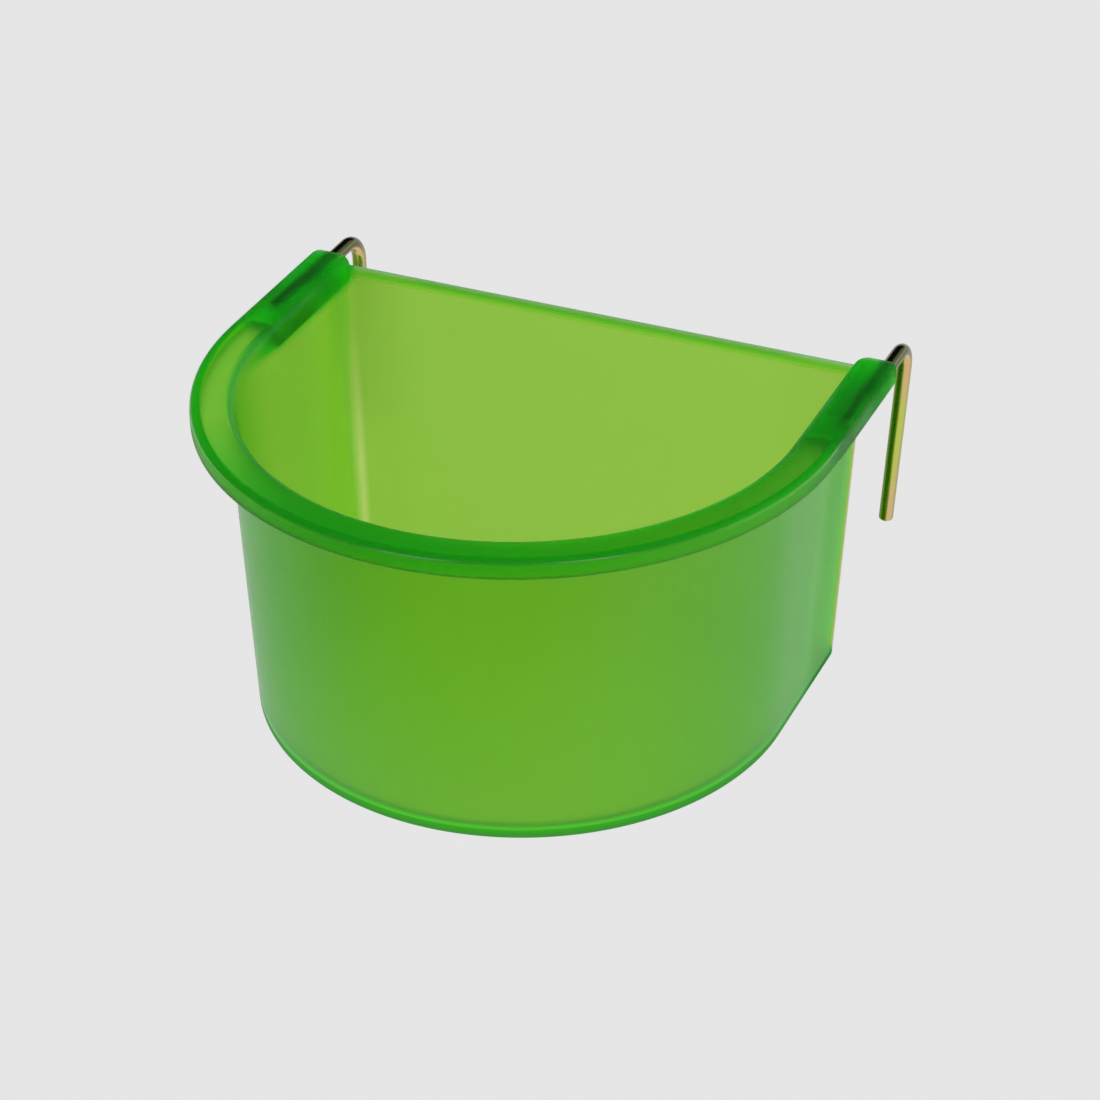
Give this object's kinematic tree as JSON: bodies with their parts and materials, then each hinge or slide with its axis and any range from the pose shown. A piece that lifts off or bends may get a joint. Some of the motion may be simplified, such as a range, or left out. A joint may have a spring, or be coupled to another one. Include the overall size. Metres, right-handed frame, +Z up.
{
  "type": "seed cup",
  "caption": "Half-round hanging seed cup of translucent green plastic with bent wire hooks that turn in blind sockets in its rim.",
  "frame": {"origin": "centre of the whole part's bounding box, seen from above, on the plane of the cup's base", "axes": "+X to the right along the back wall, seen from the front; -Y towards the curved front; +Z up"},
  "size_m": [0.13, 0.1176, 0.0695],
  "materials": {
    "green_plastic": "translucent, satin frosted moulding",
    "plated_wire": "yellow zinc plating over drawn steel wire"
  },
  "bodies": {
    "cup": {"cup": "green_plastic"},
    "hook_left": {"hook_left": "plated_wire"},
    "hook_right": {"hook_right": "plated_wire"}
  },
  "joints": [
    {"name": "hook_left_turn", "type": "hinge", "parent": "cup", "child": "hook_left", "pos_m": [-0.0621, 0.0434, 0.0664], "axis": [0, 1, 0], "continuous": true},
    {"name": "hook_right_turn", "type": "hinge", "parent": "cup", "child": "hook_right", "pos_m": [0.0621, 0.0434, 0.0664], "axis": [0, 1, 0], "continuous": true}
  ]
}
